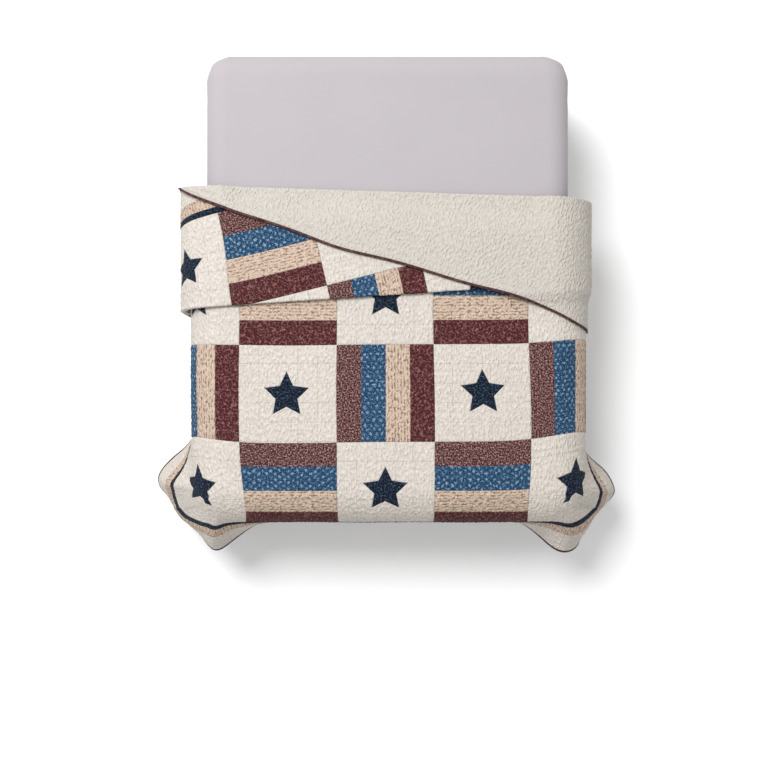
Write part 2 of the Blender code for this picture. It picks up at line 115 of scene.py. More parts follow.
RIGHT_EAR = [
    (0.591, 0.149, -0.208, 0.238, 0.145, -0.208, 0.405),
    (0.455, 0.174, -0.073, 0.215, 0.205, -0.081, 0.379),
    (0.394, 0.194, -0.023, 0.212, 0.251, -0.047, 0.364),
    (0.334, 0.214, 0.017, 0.202, 0.288, -0.002, 0.351),
    (0.302, 0.221, 0.032, 0.200, 0.298, 0.028, 0.347),
    (0.225, 0.222, 0.047, 0.202, 0.304, 0.063, 0.360),
    (0.150, 0.218, 0.075, 0.212, 0.279, 0.102, 0.392),
    (0.000, 0.198, 0.125, 0.252, 0.218, 0.157, 0.494),
    (-0.150, 0.132, 0.156, 0.152, 0.174, 0.222, 0.386),
    (-0.260, 0.089, 0.165, 0.127, 0.138, 0.272, 0.284),
    (-0.330, 0.064, 0.159, 0.112, 0.087, 0.286, 0.244),
    (-0.400, 0.040, 0.153, 0.117, 0.038, 0.265, 0.249),
    (-0.490, -0.013, 0.149, 0.124, -0.014, 0.217, 0.276),
    (-0.570, -0.093, 0.149, 0.128, -0.093, 0.159, 0.290),
    (-0.640, -0.163, 0.148, 0.128, -0.163, 0.147, 0.294),
]
FLAT_SLACK = [
    {"at": (-0.550, 0.930), "reach": 0.22, "move": (0.030, 0.000)},
    {"at": (-0.727, 0.740), "reach": 0.15, "move": (0.034, 0.000)},
    {"at": (-0.760, 0.600), "reach": 0.13, "move": (0.000, 0.030)},
    {"at": (-0.450, 0.750), "reach": 0.32, "move": (0.000, -0.008)},
    {"at": (-0.680, 1.120), "reach": 0.16, "move": (0.000, -0.040)},
    {"at": (-0.300, 1.088), "reach": 0.32, "move": (0.000, -0.007)},
    {"at": (0.010, 1.088), "reach": 0.15, "move": (0.000, 0.012)},
    {"at": (0.300, 1.088), "reach": 0.32, "move": (0.000, -0.007)},
    {"at": (0.700, 1.088), "reach": 0.16, "move": (0.000, -0.016)},
    {"at": (0.990, 1.088), "reach": 0.13, "move": (0.000, 0.026)},
]
PLANE_SLACK = [
    {"at": (0.500, -0.150), "reach": 0.34, "move": (-0.017, 0.000)},
    {"at": (0.760, -0.620), "reach": 0.20, "move": (-0.010, 0.036)},
    {"at": (0.745, -0.800), "reach": 0.13, "move": (0.010, 0.010)},
    {"at": (0.760, -0.240), "reach": 0.18, "move": (0.000, 0.018)},
    {"at": (-0.740, -0.600), "reach": 0.13, "move": (0.000, 0.018)},
    {"at": (-0.550, -0.870), "reach": 0.14, "move": (0.020, 0.000)},
    {"at": (0.560, -0.870), "reach": 0.14, "move": (-0.014, 0.000)},
]
CREASE_MARGIN = 0.012
CREASE_ROOM = CURL_LENGTH + 1.3 * CREASE_MARGIN
CREASE_STEPS = 6
NORMAL_STEP = 0.0006

# Fine grids. Cells along the cloth: the foot's drop, the open top, what the flap hides, then each
# fold's curl and the stretch after it
HIDDEN_FROM = -0.060
COLUMN_CELLS = 334
FRONT_ROWS = {"drop": 52, "top": 128, "hidden": 12, "curls": (6, 12, 14), "after": (8, 56, 11)}
BACK_ROWS = {"drop": 30, "top": 26, "hidden": 8, "curls": (6, 6, 14), "after": (6, 8, 92)}

# Camera: straight down over the bed, as the photo looks
CAMERA_AT = (-0.013, -0.390)
CAMERA_RISE = 4.5
FRAME_WIDTH = 2.863
SENSOR = 36.0


def smooth(value):
    """Ease from 0 to 1 as value goes from 0 to 1."""
    part = np.clip(value, 0.0, 1.0)
    return part * part * (3.0 - 2.0 * part)


def crease_frame(crease):
    """The crease's point, its direction, and the way across it towards the head."""
    turn = math.radians(crease["turn_deg"])
    point = np.array(crease["through"])
    return point, np.array([math.cos(turn), math.sin(turn)]), np.array([-math.sin(turn), math.cos(turn)])


def across_crease(crease, flat):
    """How far beyond a crease places lie, towards the head."""
    point, _, normal = crease_frame(crease)
    return (flat - point) @ normal


def slack_crease_lines(crease, across):
    """How far along the cloth a crease lies at each column, once the slack is taken up."""
    point, way, _ = crease_frame(crease)
    along = point[1] + (across - point[0]) * way[1] / way[0]
    for _ in range(CREASE_STEPS):
        moved = slack(np.column_stack([across, along]), FLAT_SLACK)
        along = along - across_crease(crease, moved) / math.cos(math.radians(crease["turn_deg"]))
    return along


def fold(flat):
    """Places of cloth points in the folded plane, and their heights above the lowest layer."""
    place = flat.copy()
    height = np.zeros(len(flat))
    beyond = [across_crease(crease, flat) for crease in CREASES]
    for number in (2, 1, 0):
        crease = CREASES[number]
        _, _, normal = crease_frame(crease)
        side = crease["folds"]
        member = beyond[number] > 0
        own_sheet = member if number == 2 else member & (beyond[number + 1] <= 0)
        local = across_crease(crease, place)
        curled = own_sheet & (beyond[number] < CURL_LENGTH)
        angle = np.where(curled, beyond[number] / CURL_RADIUS, math.pi)
        radius = CURL_RADIUS - side * height
        rolled_local = np.where(curled, radius * np.sin(angle), CURL_LENGTH - local)
        rolled_height = side * (CURL_RADIUS - radius * np.cos(angle))
        place = place + np.where(member, rolled_local - local, 0.0)[:, None] * normal
        height = np.where(member, rolled_height, height)
    return place + np.array(CLOTH_CENTRE), height


def folded_line(crease, folds):
    """A crease's place in the folded plane: its point there and the way across it, outwards."""
    point, way, normal = crease_frame(crease)
    inside = point - TINY * normal
    ends, _ = fold(np.array([inside, inside + 0.5 * way]))
    run = ends[1] - ends[0]
    outwards = np.array([-run[1], run[0]]) / np.linalg.norm(run)
    return ends[0], outwards * folds * np.sign(outwards[1])


def settle(flat, place, height):
    """Let the upper layers come down where the layers under them have ended."""
    beyond_b = across_crease(CREASES[1], flat)
    beyond_c = across_crease(CREASES[2], flat)
    point_a, out_a = folded_line(CREASES[0], +1)
    point_b, out_b = folded_line(CREASES[1], -1)
    past_a = (place - point_a) @ out_a - SETTLE_MARGIN
    past_b = (place - point_b) @ out_b - SETTLE_MARGIN
    from_sides = np.minimum(place[:, 0] - LEFT_START, RIGHT_START - place[:, 0])
    on_top = smooth((from_sides + SETTLE_OVERRUN) / SETTLE_SIDES)
    drop_a = 2 * LAYER_PITCH * smooth(past_a / SETTLE_LENGTH) * on_top
    drop_b = 2 * LAYER_PITCH * smooth(past_b / OVERHANG_LENGTH)
    upper = beyond_b > CURL_LENGTH
    overhang = beyond_c > CURL_LENGTH
    return height - np.where(upper, drop_a, 0.0) - np.where(overhang, drop_b, 0.0)


def slack(places, bumps):
    """Shift places softly by each bump's move, most at its middle."""
    moved = places.copy()
    for bump in bumps:
        far = np.sum((places - np.array(bump["at"])) ** 2, axis=1)
        moved += np.exp(-far / bump["reach"] ** 2)[:, None] * np.array(bump["move"])
    return moved


def ear_curve(rows, hem, column):
    """A smooth curve through one column of an ear's table, read at distances along the hem."""
    number = EAR_COLUMNS.index(column)
    knots = np.array([row[0] for row in rows])[::-1]
    values = np.array([row[number] for row in rows])[::-1]
    slopes = np.gradient(values, knots)
    taps = [curve_at(knots, values, slopes, hem + step * EAR_SMOOTHING) for step in (-2, -1, 0, 1, 2)]
    return (taps[0] + 2 * taps[1] + 2 * taps[2] + 2 * taps[3] + taps[4]) / 8


def curve_at(knots, values, slopes, hem):
    """A cubic curve through knots with given slopes."""
    cell = np.clip(np.searchsorted(knots, hem) - 1, 0, len(knots) - 2)
    width = knots[cell + 1] - knots[cell]
    part = np.clip((hem - knots[cell]) / width, 0.0, 1.0)
    keep = (1 + 2 * part) * (1 - part) ** 2
    lead = part * (1 - part) ** 2
    trail = part * part * (part - 1)
    return (
        keep * values[cell]
        + (1 - keep) * values[cell + 1]
        + width * (lead * slopes[cell] + trail * slopes[cell + 1])
    )


def fall_line(share, ring_share, rise, leaving, ring, hem):
    """Points down a fall line: it leaves as the flat cloth does, bends over the edge, and runs
    straight to the ring and then in a curve to the hem."""
    run = ring[:, :2] - rise
    out = np.hypot(run[:, 0], run[:, 1])
    way = run / np.maximum(out, TINY)[:, None]
    deeper = ring[:, 2] - DROP_RADIUS
    reach = np.hypot(out, deeper)
    bend = np.arctan2(out, -deeper) - np.arccos(np.clip(DROP_RADIUS / reach, -1, 1))
    straight = np.sqrt(np.maximum(reach**2 - DROP_RADIUS**2, 0.0))
    length = DROP_RADIUS * bend + straight
    travel = np.minimum(share / ring_share, 1.0) * length
    angle = np.minimum(travel / DROP_RADIUS, bend)
    hang = np.maximum(travel - DROP_RADIUS * bend, 0.0)
    sideways = DROP_RADIUS * np.sin(angle) + hang * np.cos(bend)
    down = DROP_RADIUS * (1 - np.cos(angle)) + hang * np.sin(bend)
    turned = smooth(share / ring_share)[:, None]
    course = leaving * (1 - turned) + way * turned
    course = course / np.maximum(np.linalg.norm(course, axis=1, keepdims=True), TINY)
    upper = np.column_stack([rise + course * sideways[:, None], down])
    rest = np.linalg.norm(hem - ring, axis=1)
    heading = np.column_stack([way * np.cos(bend)[:, None], np.sin(bend)])
    elbow = ring + heading * (rest * ELBOW_SHARE)[:, None]
    part = np.maximum((share - ring_share) / (1 - ring_share), 0.0)[:, None]
    lower = (1 - part) ** 2 * ring + 2 * part * (1 - part) * elbow + part**2 * hem
    return np.where((share <= ring_share)[:, None], upper, lower)


def corner_drop(place, side, start, rows):
    """Drape the cloth of one foot corner, and of the walls beside it, as an ear."""
    beyond = side * (place[:, 0] - start)
    foot = FOOT_START - place[:, 1]
    edge_side = QUILT_HALF + side * CLOTH_CENTRE[0] - side * start
    edge_foot = QUILT_HALF - CLOTH_CENTRE[1] + FOOT_START
    ring_side = edge_side - (QUILT_HALF - RING)
    ring_foot = edge_foot - (QUILT_HALF - RING)
    safe_beyond = np.maximum(beyond, TINY)
    safe_foot = np.maximum(foot, TINY)
    corner = (beyond > 0) & (foot > 0)
    sideways = np.where(corner, foot * edge_side <= beyond * edge_foot, beyond > 0)
    hem = np.where(
        sideways,
        np.where(corner, edge_foot - edge_side * safe_foot / safe_beyond, edge_foot - foot),
        np.where(corner, edge_foot * safe_beyond / safe_foot - edge_side, beyond - edge_side),
    )
    share = np.where(sideways, beyond / edge_side, foot / edge_foot)
    cut_side = ring_side / edge_side
    cut_foot = ring_foot / edge_foot
    slant = safe_foot * edge_side / (safe_beyond * edge_foot)
    own_cut = np.where(sideways, cut_side, cut_foot)
    other_cut = np.where(sideways, cut_foot / slant, cut_side * slant)
    other_cut = np.where(corner, np.minimum(other_cut, FAR_SHARE), FAR_SHARE)
    ring_share = (own_cut + other_cut - np.hypot(own_cut - other_cut, CORNER_SOFTNESS)) / 2
    rise_x = np.where(beyond > 0, start, place[:, 0])
    rise = np.column_stack([rise_x, np.where(foot > 0, FOOT_START, place[:, 1])])
    outwards = np.column_stack([side * np.maximum(beyond, 0.0), -np.maximum(foot, 0.0)])
    leaving = outwards / np.maximum(np.linalg.norm(outwards, axis=1, keepdims=True), TINY)
    past_side = np.maximum(hem - rows[0][0], 0.0)
    past_foot = np.maximum(rows[-1][0] - hem, 0.0)
    targets = []
    for stop in ("ring", "hem"):
        out = ear_curve(rows, hem, stop + "_out") - past_foot
        low = ear_curve(rows, hem, stop + "_foot") - past_side
        down = ear_curve(rows, hem, stop + "_down")
        targets.append(np.column_stack([start + side * out, FOOT_START - low, down]))
    spot = fall_line(np.clip(share, 0.0, BEYOND_HEM), ring_share, rise, leaving, *targets)
    return np.column_stack([spot[:, :2], TOP_SKIN - spot[:, 2]]), hem


def wall_drop(beyond, height, spread, ripple):
    """How far out and how high the cloth of a plain wall is, a length beyond the wall's start.
    Spread moves the upper layers of the stack further out, as a share of their height."""
    turn = math.radians(90.0 + WALL_LEAN_DEG)
    radius = DROP_RADIUS + height
    angle = np.minimum(beyond / radius, turn)
    hang = np.maximum(beyond - radius * turn, 0.0)
    out = radius * np.sin(angle) + hang * math.cos(turn)
    rise = radius * np.cos(angle) - DROP_RADIUS - hang * math.sin(turn)
    out = out + spread * height * smooth(beyond / DROP_RADIUS)
    return out + RIPPLE_SIZE * ripple * smooth(hang / RIPPLE_DEPTH), TOP_SKIN + rise


def drape(place, height):
    """Wrap the folded plane over the mattress."""
    x, y = place[:, 0], place[:, 1]
    waves = np.sin(2 * math.pi * x / PUFF_LENGTH) * np.cos(2 * math.pi * y / PUFF_LENGTH + x)
    height = height + PUFF_SIZE * (1 + waves)
    spots = np.column_stack([x, y, TOP_SKIN + height])
    for side, start, spread, rows in (
        (-1.0, LEFT_START, LEFT_SPREAD, LEFT_EAR),
        (1.0, RIGHT_START, RIGHT_SPREAD, RIGHT_EAR),
    ):
        beyond = side * (x - start)
        near_side = side * x >= 0
        ear_spots, hem = corner_drop(place, side, start, rows)
        side_plain = smooth((hem - rows[0][0]) / EAR_BLEND)
        foot_plain = smooth((rows[-1][0] - hem) / EAR_BLEND)
        ripple = np.sin(2 * math.pi * y / RIPPLE_LENGTH + RIPPLE_SIDE_PHASE * side) * side_plain
        out, up = wall_drop(np.maximum(beyond, 0.0), height, spread, ripple)
        side_wall = np.column_stack([start + side * out, y, up])
        ripple = np.sin(2 * math.pi * x / RIPPLE_LENGTH + RIPPLE_FOOT_PHASE) * foot_plain
        out, up = wall_drop(np.maximum(FOOT_START - y, 0.0), height, 0.0, ripple)
        foot_wall = np.column_stack([x, FOOT_START - out, up])
        to_side = smooth((hem - rows[0][0]) / EAR_BLEND + 0.5)[:, None]
        to_foot = smooth((rows[-1][0] - hem) / EAR_BLEND + 0.5)[:, None]
        draped = ear_spots * (1 - to_side - to_foot) + side_wall * to_side + foot_wall * to_foot
        hangs = near_side & ((beyond > 0) | (y < FOOT_START))
        spots = np.where(hangs[:, None], draped, spots)
    return spots


def cloth_to_space(flat):
    """Places in space of points of the flat cloth."""
    flat = slack(flat, FLAT_SLACK)
    place, height = fold(flat)
    height = settle(flat, place, height)
    return drape(slack(place, PLANE_SLACK), height)


def surface_normals(flat):
    """Normals of the draped surface at cloth points, from steps across and along the cloth."""
    across = np.array([NORMAL_STEP, 0.0])
    along = np.array([0.0, NORMAL_STEP])
    rise_across = cloth_to_space(flat + across) - cloth_to_space(flat - across)
    rise_along = cloth_to_space(flat + along) - cloth_to_space(flat - along)
    normal = np.cross(rise_across, rise_along)
    return normal / np.linalg.norm(normal, axis=1, keepdims=True)


def ramp(start, end, cells):
    """Evenly spaced values from start up to, but not including, end, for arrays of columns."""
    share = np.arange(cells) / cells
    return start[:, None] + (end - start)[:, None] * share


def fine_grid(half, rows):
    """Cloth points of a fine grid whose rows follow the three folds."""
    across = np.linspace(-half, half, COLUMN_CELLS + 1)
    same = np.ones(len(across))
    foot = FOOT_START - CLOTH_CENTRE[1]
    ladder = [
        ramp(-half * same, foot * same, rows["drop"]),
        ramp(foot * same, HIDDEN_FROM * same, rows["top"]),
    ]
    start = HIDDEN_FROM * same
    cells = rows["hidden"]
    for number, crease in enumerate(CREASES):
        line = np.minimum(slack_crease_lines(crease, across), half - CREASE_ROOM)
        curl = CURL_LENGTH / math.cos(math.radians(crease["turn_deg"]))
        before = line - CREASE_MARGIN
        ladder.append(ramp(start, before, cells))
        ladder.append(ramp(before, line, 2))
        ladder.append(ramp(line, line + curl, rows["curls"][number]))
        ladder.append(ramp(line + curl, line + curl + CREASE_MARGIN, 2))
        start = line + curl + CREASE_MARGIN
        cells = rows["after"][number]
    ladder.append(ramp(start, half * same, cells))
    along = np.hstack(ladder + [half * same[:, None]])
    return np.stack([np.broadcast_to(across[:, None], along.shape), along], axis=2)


# Quilting raised in the points
PEBBLE = np.array([0.0160, 0.0260])
PEBBLE_SIZE = 0.0022
PEBBLE_WALL = 0.90
JITTER_CELLS = 173
SEAM_DEPTH = 0.0007
SEAM_HALF_WIDTH = 0.0036
STITCH_DEPTH = 0.0003
STITCH_PITCH = BLOCK / 5
STRIPS = 4
STRIP = BLOCK / STRIPS
BLOCKS_HALF = 2.5
PIECED_HALF = BLOCKS_HALF * BLOCK
STAR_TENTH = math.pi / 5
STAR_RADIUS = 0.0872
STAR_INNER = 0.495
# Soft shifts of the patchwork, because the real blocks aren't quite even
PIECING_SLACK = [
    {"at": (-0.364, -0.364), "reach": 0.22, "move": (0.0078, 0.0078)},
    {"at": (0.364, -0.364), "reach": 0.22, "move": (-0.0052, -0.0026)},
    {"at": (0.000, -0.727), "reach": 0.16, "move": (0.0034, -0.0034)},
    {"at": (-0.718, -0.736), "reach": 0.062, "move": (-0.0140, -0.0080)},
    {"at": (0.720, -0.734), "reach": 0.062, "move": (0.0105, -0.0080)},
    {"at": (-0.727, 0.727), "reach": 0.11, "move": (-0.0125, 0.0077)},
]
STAR_RISE = 0.0008
STAR_SLOPE = 0.005
BACK_SHIFT = 0.4
EDGE_TUCK = 0.012
EDGE_THIN = 0.45
FAR_PUFF = 9.0
PUFF_SCATTER = 0.7
NAVY_BORDER = 0.025
TAN_BORDER = 0.075
jitter = np.random.default_rng(11).random((JITTER_CELLS, JITTER_CELLS, 2))


def pebbles(flat):
    """Height from 0 to 1 of small stitched puffs, which are cells round scattered points."""
    spot = flat / PEBBLE
    cell = np.floor(spot).astype(int)
    nearest = np.full(len(flat), FAR_PUFF)
    second = np.full(len(flat), FAR_PUFF)
    for i in (-1, 0, 1):
        for j in (-1, 0, 1):
            index = (cell + (i, j)) % JITTER_CELLS
            scatter = PUFF_SCATTER * (jitter[index[:, 0], index[:, 1]] - 0.5)
            centre = cell + (i, j) + 0.5 + scatter
            far = np.linalg.norm(spot - centre, axis=1)
            second = np.minimum(second, np.maximum(nearest, far))
            nearest = np.minimum(nearest, far)
    return smooth((second - nearest) / PEBBLE_WALL)


def groove(distance, half_width):
    """1 on a line, fading softly to 0 beside it."""
    return np.exp(-((distance / half_width) ** 2))


def to_line(value, pitch):
    """Distance from the nearest of evenly spaced lines, one of them at half a pitch."""
    return np.abs((value / pitch) % 1.0 - 0.5) * pitch


def star_run():
    """The direction from a star's tip to the notch beside it, the tip lying along the first axis."""
    notch_x = STAR_RADIUS * STAR_INNER * math.cos(STAR_TENTH) - STAR_RADIUS
    notch_y = STAR_RADIUS * STAR_INNER * math.sin(STAR_TENTH)
    reach = math.hypot(notch_x, notch_y)
    return notch_x / reach, notch_y / reach


def star_depth(x, y):
    """How far inside the star's outline points are; below zero they are outside."""
    angle = np.arctan2(x, y)
    folded = np.abs((angle + STAR_TENTH) % (2 * STAR_TENTH) - STAR_TENTH)
    radius = np.hypot(x, y)
    run_x, run_y = star_run()
    return radius * np.sin(folded) * run_x - (radius * np.cos(folded) - STAR_RADIUS) * run_y


def relief(flat, front):
    """Height of the quilting above the cloth's plain surface."""
    x, y = flat[:, 0], flat[:, 1]
    height = PEBBLE_SIZE * (pebbles(flat if front else flat + BACK_SHIFT) - 0.5)
    stitch = np.minimum(to_line(x, STITCH_PITCH), to_line(y, STITCH_PITCH))
    height -= STITCH_DEPTH * groove(stitch, SEAM_HALF_WIDTH)
    if front:
        x, y = slack(flat, PIECING_SLACK).T
        ring = np.maximum(np.abs(x), np.abs(y)) - PIECED_HALF
        inside = ring < 0
        column = np.floor(x / BLOCK + BLOCKS_HALF)
        row = np.floor(y / BLOCK + BLOCKS_HALF)
        seam = np.minimum(to_line(x, BLOCK), to_line(y, BLOCK))
        plain = (column + row) % 2 == 0
        strip = to_line(np.where(row % 2 == 0, y, x) + STRIP / 2, STRIP)
        strip = np.minimum(seam, np.where(plain, seam, strip))
        border = np.min([np.abs(ring), np.abs(ring - NAVY_BORDER), np.abs(ring - TAN_BORDER)], axis=0)
        height -= SEAM_DEPTH * groove(np.where(inside, strip, border), SEAM_HALF_WIDTH)
        centre_x = np.floor(x / BLOCK + 0.5) * BLOCK
        centre_y = np.floor(y / BLOCK + 0.5) * BLOCK
        star = star_depth(x - centre_x, y - centre_y)
        height += np.where(plain & inside, STAR_RISE * smooth(star / STAR_SLOPE + 0.5), 0.0)
    return height


def sheet_mesh(name, points, flat, flip):
    """An object from a grid of points, with its flat layout as the UV map."""
    wide, high = points.shape[:2]
    number = np.arange(wide * high).reshape(wide, high)
    corners = [number[:-1, :-1], number[1:, :-1], number[1:, 1:], number[:-1, 1:]]
    quads = np.stack(corners, axis=2).reshape(-1, 4)
    if flip:
        quads = quads[:, ::-1]
    return mesh_object(name, points.reshape(-1, 3), quads, flat.reshape(-1, 2) / (2 * QUILT_HALF) + 0.5)


def mesh_object(name, points, quads, layout=None):
    """An object from points and quads, smooth, with a flat layout where one is given."""
    mesh = bpy.data.meshes.new(name)
    mesh.vertices.add(len(points))
    mesh.vertices.foreach_set("co", points.ravel())
    mesh.loops.add(quads.size)
    mesh.loops.foreach_set("vertex_index", quads.ravel().astype(np.int32))
    mesh.polygons.add(len(quads))
    mesh.polygons.foreach_set("loop_start", np.arange(0, quads.size, 4, dtype=np.int32))
    mesh.polygons.foreach_set("loop_total", np.full(len(quads), 4, dtype=np.int32))
    mesh.update(calc_edges=True)
    mesh.validate()
    if layout is not None:
        uv_map = mesh.uv_layers.new(name="OFBake")
        uv_map.data.foreach_set("uv", layout[quads.ravel()].ravel())
    mesh.shade_smooth()
    piece = bpy.data.objects.new(name, mesh)
    bpy.context.scene.collection.objects.link(piece)
    return piece


def quilt_face(name, rows, front):
    """One face of the quilt: the pieced front or the plain back."""
    half = QUILT_HALF - BINDING_WIDTH - BINDING_GAP
    grid = fine_grid(half, rows)
    flat = grid.reshape(-1, 2)
    middle = cloth_to_space(flat)
    normal = surface_normals(flat)
    from_edge = half - np.max(np.abs(flat), axis=1)
    full = smooth(from_edge / EDGE_TUCK)
    lift = QUILT_THICK / 2 * (EDGE_THIN + (1 - EDGE_THIN) * full)
    if front:
        lift = lift + relief(flat, True) * full
    else:
        turned = smooth(across_crease(CREASES[2], slack(flat, FLAT_SLACK)) / CREASE_MARGIN)
        lift = lift + relief(flat, False) * full * turned
    points = middle + normal * (lift if front else -lift)[:, None]
    return sheet_mesh(name, points.reshape(*grid.shape[:2], 3), grid, flip=not front)


BINDING_PROFILE = 12
BINDING_CENTRE = 0.0042
BINDING_REACH = 0.0050
BINDING_RISE = 0.0033
BINDING_BOX = 0.7


def binding_strip():
    """The bound edge as a rounded tape round all four hems."""
    rings = []
    lifts = []
    grid = fine_grid(QUILT_HALF - BINDING_WIDTH, FRONT_ROWS)
    for step in range(BINDING_PROFILE):
        angle = 2 * math.pi * step / BINDING_PROFILE
        cosine, sine = math.cos(angle), math.sin(angle)
        inset = BINDING_CENTRE + BINDING_REACH * math.copysign(abs(cosine) ** BINDING_BOX, cosine)
        edge = QUILT_HALF - inset
        across = grid[:, 0, 0].copy()
        across[[0, -1]] = -edge, edge
        foot = np.column_stack([across, np.full(len(across), -edge)])
        right = np.column_stack([np.full(grid.shape[1] - 2, edge), grid[-1, 1:-1, 1]])
        head = np.column_stack([across, np.full(len(across), edge)])[::-1]
        left = np.column_stack([np.full(grid.shape[1] - 2, -edge), grid[0, 1:-1, 1]])[::-1]
        rings.append(np.vstack([foot, right, head, left]))
        lifts.append(BINDING_RISE * math.copysign(abs(sine) ** BINDING_BOX, sine))
    flat = np.stack(rings, axis=0)
    rounds, count = flat.shape[:2]
    points = cloth_to_space(flat.reshape(-1, 2))
    normal = surface_normals(flat.reshape(-1, 2))
    points = points + normal * np.repeat(lifts, count)[:, None]
    number = np.arange(rounds * count).reshape(rounds, count)
    after = np.roll(number, -1, axis=0)
    corners = [number, np.roll(number, -1, axis=1), np.roll(after, -1, axis=1), after]
    quads = np.stack(corners, axis=2).reshape(-1, 4)
    return mesh_object("quilt_binding", points, quads[:, ::-1])


CORNER_SIGNS = ((1, 1), (-1, 1), (-1, -1), (1, -1))
RING_POINTS = 40
CORNER_POINTS = 12
EDGE_STEPS = 10
SIDE_STEPS = 14
TOP_STEPS = 46
TOP_MIDDLE = 0.01
UNDERSIDE_SHRINKS = (0.30, 0.12)
SMALLEST_CORNER = 0.004
MATTRESS_NOISE = 0.0005
SIDE_TUCK = 0.0022
PULL_REACH = 0.16
PULL_RATE = 60.0
PULL_TURN = 26.0
PULL_FROM = 0.02
TUCK_FROM = 0.05
# Waves of the sheet's top, in radians a metre
BROAD_WAVE = {"across": 7.1, "along": 2.3, "phase": 0.4}
BROAD_CROSS = {"across": -3.1, "along": 5.3, "phase": 0.0}
FINE_WAVE = {"across": 17.0, "along": 0.0, "phase": 0.0}
FINE_CROSS = {"across": 0.0, "along": 13.0, "phase": 1.1}
FINE_BEND = {"across": 0.0, "along": 6.0, "phase": 0.0}
FINE_BEND_SIZE = 3.0
FINE_SHARE = 0.6


def mattress_levels(bottom):
    """Heights of the mattress's rings of points, each with how far the ring lies inside the sides."""
    turns = [(1 - math.sin(a), 1 - math.cos(a)) for a in np.linspace(0, math.pi / 2, EDGE_STEPS)]
    sides = np.linspace(bottom + MATTRESS_EDGE, MATTRESS_TOP - MATTRESS_EDGE, SIDE_STEPS)[1:-1]
    inwards = np.linspace(MATTRESS_EDGE, MATTRESS_WIDTH / 2 - TOP_MIDDLE, TOP_STEPS)[1:]
    levels = [(bottom, shrink) for shrink in UNDERSIDE_SHRINKS]
    levels += [(bottom + MATTRESS_EDGE * rise, MATTRESS_EDGE * shrink) for rise, shrink in turns[::-1]]
    levels += [(z, 0.0) for z in sides]
    levels += [(MATTRESS_TOP - MATTRESS_EDGE * rise, MATTRESS_EDGE * shrink) for rise, shrink in turns]
    return levels + [(MATTRESS_TOP, shrink) for shrink in inwards]


def mattress_ring(z, shrink):
    """Points round the mattress at one height: four round corners and the straight sides between."""
    corner = max(MATTRESS_CORNER - shrink, SMALLEST_CORNER)
    half = np.array([MATTRESS_WIDTH, MATTRESS_LENGTH]) / 2 - shrink - corner
    signs = np.array(CORNER_SIGNS)
    points = []
    share = np.arange(1, RING_POINTS)[:, None] / RING_POINTS
    for turn in range(4):
        angles = math.pi / 2 * (turn + np.arange(CORNER_POINTS) / (CORNER_POINTS - 1))
        spokes = corner * np.column_stack([np.cos(angles), np.sin(angles)])
        bend = signs[turn] * half + spokes
        next_bend = signs[(turn + 1) % 4] * half + spokes[-1]
        points += [bend, bend[-1] + (next_bend - bend[-1]) * share]
    flat = np.vstack(points)
    return np.column_stack([flat, np.full(len(flat), z)])


def wave(x, y, rates, bend=0.0):
    """A sine wave over the bed, with its rates across and along."""
    return np.sin(rates["across"] * x + rates["along"] * y + rates["phase"] + bend)


def mattress_piece():
    """The mattress under its sheet: round edges, a slightly uneven top and soft pulls at the corners."""
    bottom = BASE_HEIGHT + SEAT_GAP
    rings = [mattress_ring(z, shrink) for z, shrink in mattress_levels(bottom)]
    points = np.vstack(rings)
    x, y, z = points.T
    broad = wave(x, y, BROAD_WAVE) * wave(x, y, BROAD_CROSS)
    bend = FINE_BEND_SIZE * wave(x, y, FINE_BEND)
    fine = wave(x, y, FINE_WAVE, bend) * wave(x, y, FINE_CROSS)
    uneven = broad + FINE_SHARE * fine - 1.0
    on_top = smooth((z - (MATTRESS_TOP - MATTRESS_EDGE)) / MATTRESS_EDGE)
    from_corner = np.hypot(np.abs(x) - MATTRESS_WIDTH / 2, np.abs(y) - MATTRESS_LENGTH / 2)
    pull = np.sin(PULL_RATE * (np.abs(x) - np.abs(y)) + PULL_TURN * z)
    pull = np.where(z > bottom + PULL_FROM, pull * groove(from_corner, PULL_REACH), 0.0)
    inward = -np.column_stack([x / MATTRESS_WIDTH, y / MATTRESS_LENGTH]) * 2
    tuck = SIDE_TUCK * (1 - on_top) * (1 + pull) * smooth((z - bottom) / TUCK_FROM)
    points[:, :2] += inward * tuck[:, None]
    points[:, 2] += MATTRESS_NOISE * uneven * on_top
    number = np.arange(len(points)).reshape(len(rings), -1)
    around = np.roll(number, -1, axis=1)
    quads = np.stack([number[:-1], around[:-1], around[1:], number[1:]], axis=2).reshape(-1, 4)
    return mesh_object("mattress_sheet", points, quads)


SPECULAR = 0.12
SHEEN_ROUGHNESS = 0.5


